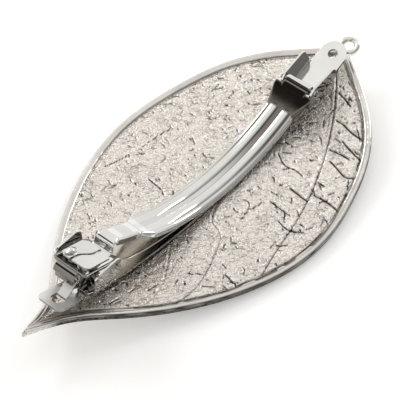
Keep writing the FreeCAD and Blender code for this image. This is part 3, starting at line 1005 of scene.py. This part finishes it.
        foot = 0.7 - 0.55 * low_side[:, None]
        walls = smooth(across[None], foot, foot + 0.2) + smooth(-across, 0.72, 0.95)[None]
        # Painted shade along the crest groove, the foot and the walls, strongest on the near side.
        tone = (0.1 + 0.2 * near)[:, None] * crest[None] + walls * (0.14 + 0.86 * near)[:, None]
        # Painted shade on the sunk underside.
        tone = np.clip(tone + (0.4 + 0.6 * near)[:, None] * (up < -0.1)[None], 0, 1)
        tone *= 0.82 + 0.18 * soft_noise(t / 1.7, t * 0, 23)[:, None]
        tone *= 1 - 0.75 * smooth(-line[:, :1], 38.5, 42)
        place = line[:, None] + inward[:, None] * ((1 + across)[None] * width[:, None] / 2)[..., None]
        x, y = place[..., 0], place[..., 1]
        base, nx, nz = arc_place(x, 0.0, self.thick, self.radius)
        tip = box_mm("leaf_rim")[0][0] + 0.02
        rings = np.stack([np.maximum(x + rise * nx, tip), y, base + rise * nz], 2)
        for end, order in ((0, 1), (-1, -1)):
            hub = rings[end].mean(0)
            caps = [hub + (rings[end] - hub) * k for k in (0.0, 0.5, 0.85)]
            caps = np.stack(caps if order == 1 else caps[::-1])
            rings = np.concatenate([caps, rings] if order == 1 else [rings, caps])
            tone = np.pad(tone, ((3, 0), (0, 0)) if order == 1 else ((0, 3), (0, 0)), mode="edge")
        mesh = self.shop.from_rings(rings, paint=("shade", tone))
        self.shop.finish_piece("leaf_rim_bead", mesh, RIM, Body.BARRETTE, ["leaf_rim"])

    def eye(self) -> None:
        """Build the eye: a round wire ring in the plane of the leaf's end, a little uneven."""
        wire = (self.eye_outer - self.eye_hole) / 2 * 0.98
        ring_r = (self.eye_outer + self.eye_hole) / 2
        low, high = box_mm("stem_eye")
        x0, z0 = (low[0] + high[0]) / 2, (low[2] + high[2]) / 2
        lean = math.asin(x0 / self.radius)
        a = np.linspace(0, 2 * math.pi, 96, endpoint=False)[:, None]
        b = np.linspace(0, 2 * math.pi, 32, endpoint=False)[None]
        thick = wire * (1 - 0.05 * (1 + np.sin(3 * a + 0.5)) / 2)
        out = ring_r + thick * np.cos(b)
        x, y, z = out * np.cos(a), out * np.sin(a), thick * np.sin(b) + 0 * a
        rings = np.stack([x0 + x * math.cos(lean) - z * math.sin(lean), y,
                          z0 + x * math.sin(lean) + z * math.cos(lean)], 2)
        mesh = self.shop.from_rings(rings, closed_path=True)
        self.shop.finish_piece("stem_eye_ring", mesh, RIM, Body.BARRETTE, ["stem_eye"])

    def build(self) -> None:
        """Build the leaf's pieces."""
        self.blade()
        self.rim()
        self.eye()


# ---------------------------------------------------------------- the clip


@dataclass
class BaseStamping:
    """The clip's arched base with its tongue, seat, ears and pin, and its solder."""

    shop: Workshop
    edge: float = 0.09
    painted_shade_depth: dict[str, float] = field(
        default_factory=lambda: {"base_tongue": 0.12, "catch_seat": 0.35})

    def build(self) -> None:
        """Stand rounded copies in for the stamped parts."""
        rounded = {"base_strip": self.edge, "base_tongue": 0.08, "catch_seat": 0.15,
                   "hinge_ear_near": self.edge, "hinge_ear_far": self.edge, "hinge_pin": 0.08}
        for node, edge in rounded.items():
            # How much painted shade this node's sideways and downward faces get.
            depth = self.painted_shade_depth.get(node, 0.75)
            finish = TAB if node in ("base_strip", "base_tongue") else CLIP
            self.shop.refined(node, finish, Body.BARRETTE, edge, 3, depth)
        self.shop.refined("solder_pad", SOLDER, Body.BARRETTE, 0.03, 2)


@dataclass
class UpperArm:
    """The bowed arm: ribbed strip, neck, rolled end, latch frame and lip."""

    shop: Workshop
    mid_x: float = 5.2
    top_z: float = 3.1
    radius: float = 43.0
    thick: float = 0.42
    half_width: float = 2.9
    neck_half: float = 1.9
    start_x: float = -17.9
    end_x: float = 26.8
    shoulder_x: float = 24.6
    shoulder: float = 4.1
    rib_y: float = 1.35
    rib_half: float = 0.8
    rib_height: float = 0.4
    neck_path: tuple[tuple[float, float], ...] = (
        (-17.6, 9.42), (-18.6, 10.05), (-20.6, 11.15), (-22.6, 12.3), (-23.9, 12.92),
        (-24.75, 12.78), (-25.15, 12.0), (-25.45, 11.3), (-26.1, 11.15))
    frame_rear: float = -25.75
    frame_front: float = -33.7
    frame_side: float = 3.47
    frame_corner: float = 0.55
    frame_bar: float = 0.25
    frame_height: float = 10.95
    knuckle_radius: float = 0.72
    knuckle_half: float = 2.5
    knuckle_shade_edge: tuple[float, float] = (27.85, 28.0)

    def strip(self) -> None:
        """Build the strip.

        Across the arm the sheet is flat, then turns down round each edge by an angle that
        fades out at the shoulders. Two flat-topped ribs stand on it, with smooth ends.
        """
        x = np.linspace(self.start_x + 0.2, self.end_x - 0.2, 260)[:, None]
        v = np.linspace(-1, 1, 121)[None]
        widen = np.clip((x - self.shoulder_x + 2.2) / 3.6, 0, 1) ** 1.3
        taper = np.clip((self.start_x + 2.6 - x) / 2.2, 0, 1)
        turn = math.radians(78) * (1 - widen) * (1 - 0.5 * taper)
        bend_r = 0.42
        broad = self.half_width - bend_r - taper * (self.half_width - self.neck_half)
        flat = broad * (1 - widen) + self.shoulder * 0.97 * widen
        reach = flat + (bend_r * turn + 0.35) * (1 - widen)
        q = np.abs(v) * reach
        over = np.clip((q - flat) / bend_r, 0, np.maximum(turn, 1e-6))
        rest = np.maximum(q - flat - over * bend_r, 0)
        y = np.minimum(q, flat) + bend_r * np.sin(over) + rest * np.cos(over)
        down = bend_r * (1 - np.cos(over)) + rest * np.sin(over)
        rib = np.sqrt(np.clip(1 - ((y - self.rib_y) / self.rib_half) ** 2, 0, 1))
        span = smooth(x, -13.5, -6.0) * (1 - smooth(x, 22.6, 22.9))
        height = self.rib_height * rib * span - down - self.thick / 2
        y = np.sign(v) * y
        base, nx, nz = arc_place(np.broadcast_to(x, y.shape), self.mid_x, self.top_z, self.radius)
        middle = np.stack([x + height * nx, y, base + height * nz], 2)
        mesh = self.shop.sheet(middle, self.thick)
        self.shade_valleys(mesh)
        self.shop.finish_piece("arm_strip_ribbed", mesh, CLIP, Body.ARM, ["arm_strip"])

    def shade_valleys(self, mesh: Any) -> None:
        """Paint shade into the hollows beside the ribs, more so towards the hinge, and over all of the
        shoulders.

        Args:
            mesh: the strip's mesh, in metres.
        """
        points = points_mm(mesh)
        x, y = points[:, 0], np.abs(points[:, 1])
        off_rib = smooth(np.abs(y - self.rib_y), self.rib_half - 0.22, self.rib_half + 0.02)
        off_rib = np.maximum(off_rib, smooth(x, 22.3, 22.6))
        edge = smooth(y, self.half_width - 0.45, self.half_width - 0.2) * (1 - smooth(x, 22, 24))
        # Painted shade beside the ribs, growing towards the hinge, and over the shoulders.
        value = off_rib * (0.12 + 0.83 * smooth(x, 1.0, 19.0)) * (1 - edge)
        value = np.where(x > 22.5, np.maximum(value, 0.93), value)
        store_shade(mesh, value)

    def build(self) -> None:
        """Build the arm's pieces."""
        self.strip()
        self.neck()
        self.frame()
        self.knuckle()
        # The front lip gets near-full painted shade.
        self.shop.refined("arm_front_lip", CLIP, Body.ARM, 0.12, 3, 0.97, 3.2)

    def neck(self) -> None:
        """Build the neck: a narrow channel up from the strip, then an S-bend down to the frame.
        """
        path = curve_through(self.neck_path, 110)
        x = path[:, 0]
        folded = smooth(x, -24.6, -23.4) * smooth(-x, 17.7, 18.9)
        turn = math.radians(84) * (0.12 + 0.88 * folded)
        width = self.neck_half - 0.22 + 0.3 * smooth(-x, 24.4, 25.6)
        mesh = self.shop.channel(path, width, turn, 0.03 + 0.62 * folded, self.thick, 0.3)
        # Painted shade on the neck's turned-down sides.
        self.shop.shade_sides(mesh, 0.8)
        self.clear_bend(mesh)
        self.shop.finish_piece("arm_neck_channel", mesh, CLIP, Body.ARM, ["arm_neck"])

    @staticmethod
    def clear_bend(mesh: Any, from_x: float = -24.3, share: float = 0.3) -> None:
        """Leave the S-bend at the neck's front bright: scale its painted shade beyond a place.

        Args:
            mesh: the neck's mesh.
            from_x: where the bright part starts.
            share: how much of the painted shade is kept there.
        """
        value = np.zeros(len(mesh.vertices))
        layer = mesh.attributes["shade"].data
        layer.foreach_get("value", value)
        beyond = smooth(-points_mm(mesh)[:, 0], -from_x, -from_x + 0.4)
        layer.foreach_set("value", value * (1 - (1 - share) * beyond))

    def frame(self) -> None:
        """Build the window frame: a rounded bar carried round a rectangle on a slope.

        The bar's section is a superellipse. The path is a rectangle with quarter circles at
        its corners, and its height follows the slope of the frame.
        """
        rear, front = self.frame_rear, self.frame_front
        side, corner = self.frame_side, self.frame_corner
        turn = np.linspace(0, math.pi / 2, 9)
        corners = ((rear - corner, side - corner, 0.0), (front + corner, side - corner, 0.5),
                   (front + corner, corner - side, 1.0), (rear - corner, corner - side, 1.5))
        line = np.concatenate([np.stack([cx + corner * np.cos(turn + q * math.pi),
                                         cy + corner * np.sin(turn + q * math.pi)], 1)
                               for cx, cy, q in corners])
        tangent = np.roll(line, -1, 0) - np.roll(line, 1, 0)
        tangent /= np.linalg.norm(tangent, axis=1, keepdims=True)
        out = np.stack([tangent[:, 1], -tangent[:, 0]], 1)
        a = np.linspace(0, 2 * math.pi, 28, endpoint=False)
        wide = self.frame_bar * np.sign(np.cos(a)) * np.abs(np.cos(a)) ** 0.5
        high = self.frame_bar * np.sign(np.sin(a)) * np.abs(np.sin(a)) ** 0.5
        xy = line[:, None] + out[:, None] * wide[None, :, None]
        z = self.frame_height + LATCH_SLOPE * (LATCH_X - xy[..., 0]) + high[None]
        mesh = self.shop.from_rings(np.concatenate([xy, z[..., None]], 2), closed_path=True)
        # Painted shade over nearly the whole frame.
        self.shop.shade_sides(mesh, 0.92, 0.2, 3.4)
        self.shop.finish_piece("arm_latch_window", mesh, CLIP, Body.ARM, ["arm_latch_frame"])

    def knuckle(self) -> None:
        """Build the knuckle: sheet that runs on from the strip and rolls right round the pin.

        The path leaves the strip along its slope, then follows a circle round the pin from
        the top, away from the strip, and back underneath.
        """
        low, high = box_mm("hinge_pin")
        pin_x, pin_z, roll = (low[0] + high[0]) / 2, (low[2] + high[2]) / 2, self.knuckle_radius
        turn = np.linspace(math.radians(140), math.radians(-150), 90)
        circle = np.stack([pin_x + roll * np.cos(turn), pin_z + roll * np.sin(turn)], 1)
        lead_x = np.linspace(25.6, 27.2, 8)
        lead_z = arc_place(lead_x, self.mid_x, self.top_z - 0.20, self.radius)[0]
        lead_z -= 0.3 * (1 - smooth(lead_x, 25.6, 26.5))
        path = np.concatenate([np.stack([lead_x, lead_z], 1), circle])
        width = np.full(len(path), self.knuckle_half)
        mesh = self.shop.channel(path, width, width * 0 + 1e-3, width * 0, self.thick, 0.1)
        # Painted shade on the knuckle's side towards the arm.
        value = 0.95 * (1 - smooth(points_mm(mesh)[:, 0], *self.knuckle_shade_edge))
        store_shade(mesh, value)
        self.shop.finish_piece("arm_knuckle_roll", mesh, CLIP, Body.ARM, ["arm_knuckle"])


@dataclass
class TensionBow:
    """The loose sprung strip between arm and base."""

    shop: Workshop
    mid_x: float = 2.5
    bottom_z: float = 2.1
    radius: float = 70.0
    thick: float = 0.3
    half_width: float = 2.25
    start_x: float = -23.3
    end_x: float = 24.3

    def build(self) -> None:
        """Build the strip: an arc along the clip, its ends narrowed to round tongues."""
        s = np.linspace(0, 1, 150)[:, None]
        v = np.linspace(-1, 1, 17)[None]
        x = self.start_x + (self.end_x - self.start_x) * s + 0 * v
        gap = np.minimum(x - self.start_x, self.end_x - x)
        width = self.half_width * np.sqrt(np.clip(1 - (1 - np.clip(gap / 2.2, 0, 1)) ** 2, 0.12, 1))
        lift = self.bottom_z + 0.15
        base, _, _ = arc_place(x, self.mid_x, lift, self.radius)
        mesh = self.shop.sheet(np.stack([x, width * v, base], 2), self.thick)
        self.shop.finish_piece("tension_bow_strip", mesh, SPRING, Body.BOW, ["tension_bow"])


@dataclass
class CatchFingers:
    """The two sprung fingers: hook plates over the arm's frame, and thumb pads outside it."""

    shop: Workshop
    edge: float = 0.1
    dimple_radius: float = 1.6
    dimple_squash: float = 0.63
    dimple_from_front: float = 1.65
    dimple_from_side: float = 1.12
    plate_height: float = 11.9

    def build(self) -> None:
        """Stand rounded copies in for the fingers."""
        for side, body in (("near", Body.NEAR), ("far", Body.FAR)):
            self.shop.refined("catch_hook_" + side, CLIP, body, self.edge)
            self.shop.refined("pinch_pad_" + side, CLIP, body, self.edge)
        self.dimple()

    def dimple(self) -> None:
        """Build the pressed dome at the front of the far hook plate.

        Its height over the sloping plate falls from the middle as a cosine, and its skirt
        runs a little way into the plate; one ring of zero size closes the crown.
        """
        r = np.linspace(0, 1, 18)[:, None] * self.dimple_radius
        a = np.linspace(0, 2 * math.pi, 48, endpoint=False)[None]
        low, high = box_mm("catch_hook_far")
        x = low[0] + self.dimple_from_front + r * np.cos(a)
        y = high[1] - self.dimple_from_side + self.dimple_squash * r * np.sin(a)
        rise = 0.5 * (1 + np.cos(math.pi * r / self.dimple_radius)) + 0 * a
        plate = self.plate_height + LATCH_SLOPE * (LATCH_X - x)
        middle = self.plate_height + LATCH_SLOPE * (LATCH_X - low[0] - self.dimple_from_front)
        room = high[2] - 0.02 - middle
        top = np.stack([x, y, np.minimum(plate + room * rise, high[2] - 0.01)], 2)
        under = np.stack([x, y, plate - 0.15 + 0 * rise], 2)[::-1]
        skirt = smooth(r / self.dimple_radius, 0.45, 0.8)
        # Painted shade: a dark crescent on the skirt's lower-left side.
        crescent_shade = 0.9 * skirt * smooth(np.cos(a - math.radians(220)), 0.1, 0.8)
        mesh = self.shop.from_rings(np.concatenate([top, under]),
                               paint=("shade", np.concatenate([crescent_shade, crescent_shade[::-1]])))
        self.shop.finish_piece("catch_dimple_far", mesh, CLIP, Body.FAR, [])


# ---------------------------------------------------------------- studio


@dataclass
class Studio:
    """Pale floor, soft lights, a surrounding glow with one dark flag, and the camera."""

    lens: float = 175.1
    distance: float = 0.350
    elevation: float = 49.0
    heading: float = 49.8
    aim: tuple[float, float, float] = (0.0, 0.0, 0.0012)
    glow_strength: float = 0.97
    flag_way: tuple[float, float, float] = (-0.43, 0.42, 0.80)
    flag_edge: tuple[float, float] = (0.958, 0.980)
    flag_depth: float = 0.97
    shade_way: tuple[float, float, float] = (0.1, -0.95, 0.3)
    shade_edge: tuple[float, float] = (0.2, 0.8)
    shade_depth: float = 0.6
    paper_side: float = 1.5
    paper_gap: float = 0.0002

    def floor(self) -> None:
        """Lay a wide square of paper at the height that the part rests on."""
        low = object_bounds()[0]
        side = self.paper_side
        mesh = bpy.data.meshes.new("floor")
        z = low[2] - self.paper_gap
        mesh.from_pydata([(-side, -side, z), (side, -side, z), (side, side, z), (-side, side, z)],
                         [], [(0, 1, 2, 3)])
        mesh.materials.append(PAPER.make())
        floor = bpy.data.objects.new("floor", mesh)
        bpy.context.scene.collection.objects.link(floor)
        floor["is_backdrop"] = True

    def soft_box(self, name: str, place: tuple[float, float, float], size: float,
                 watts: float) -> None:
        """Hang a square area light that faces the part.

        Args:
            name: the light's name.
            place: where it hangs, in metres.
            size: its side, in metres.
            watts: its power.
        """
        data = bpy.data.lights.new(name, "AREA")
        data.shape = "SQUARE"
        data.size = size
        data.energy = watts
        lamp = bpy.data.objects.new(name, data)
        lamp.location = place
        lamp.rotation_euler = (-Vector(place)).to_track_quat("-Z", "Y").to_euler()
        bpy.context.scene.collection.objects.link(lamp)

    def glow(self) -> None:
        """Surround the part with a pale glow, darker overhead on one side like a black flag."""
        world = bpy.data.worlds.new("studio")
        bpy.context.scene.world = world
        world.use_nodes = True
        graph = Graph(world.node_tree)
        way = graph.add("ShaderNodeTexCoord", out="Generated")

        def towards(direction: tuple[float, float, float]) -> Sock:
            """Cosine of the angle between the view ray and a direction."""
            unit = tuple(Vector(direction).normalized())
            return graph.add("ShaderNodeVectorMath", {"operation": "DOT_PRODUCT"},
                             {0: way, 1: unit}, "Value")

        flag = towards(self.flag_way).step(*self.flag_edge)
        shade = towards(self.shade_way).step(*self.shade_edge)
        level = 1.0 - flag * self.flag_depth - shade * self.shade_depth
        tone = graph.blend(level.clamp(), (0.02, 0.018, 0.016, 1), (1.0, 0.985, 0.955, 1))
        glow = graph.add("ShaderNodeBackground", {}, {"Color": tone, "Strength": self.glow_strength})
        graph.add("ShaderNodeOutputWorld", {}, {"Surface": glow})

    def camera(self) -> None:
        """Set the camera at its distance along the line of sight, level, with no shift."""
        e, h = math.radians(self.elevation), math.radians(self.heading)
        back = Vector((-math.sin(h) * math.cos(e), -math.cos(h) * math.cos(e), math.sin(e)))
        data = bpy.data.cameras.new("camera")
        data.lens = self.lens
        data.sensor_width = 36.0
        data.clip_start = 0.01
        camera = bpy.data.objects.new("camera", data)
        camera.location = Vector(self.aim) + back * self.distance
        camera.rotation_euler = (-back).to_track_quat("-Z", "Y").to_euler()
        bpy.context.scene.collection.objects.link(camera)
        bpy.context.scene.camera = camera

    def build(self) -> None:
        """Build the floor, light and camera, and keep whites white in the tone curve."""
        bpy.context.scene.view_settings.view_transform = "Standard"
        self.floor()
        self.glow()
        self.soft_box("key", (0.1, 0.75, 0.6), 0.30, 1.6)
        self.soft_box("fill", (0.75, -0.1, 0.45), 0.22, 1.0)
        self.camera()


def main() -> None:
    """Build every sub-assembly in order."""
    logging.basicConfig(level=logging.INFO, format="%(message)s")
    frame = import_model()
    shop = Workshop(frame)
    for part in (LeafCasting, BaseStamping, UpperArm, TensionBow, CatchFingers):
        part(shop).build()
    Studio().build()


if __name__ == "__main__":
    main()
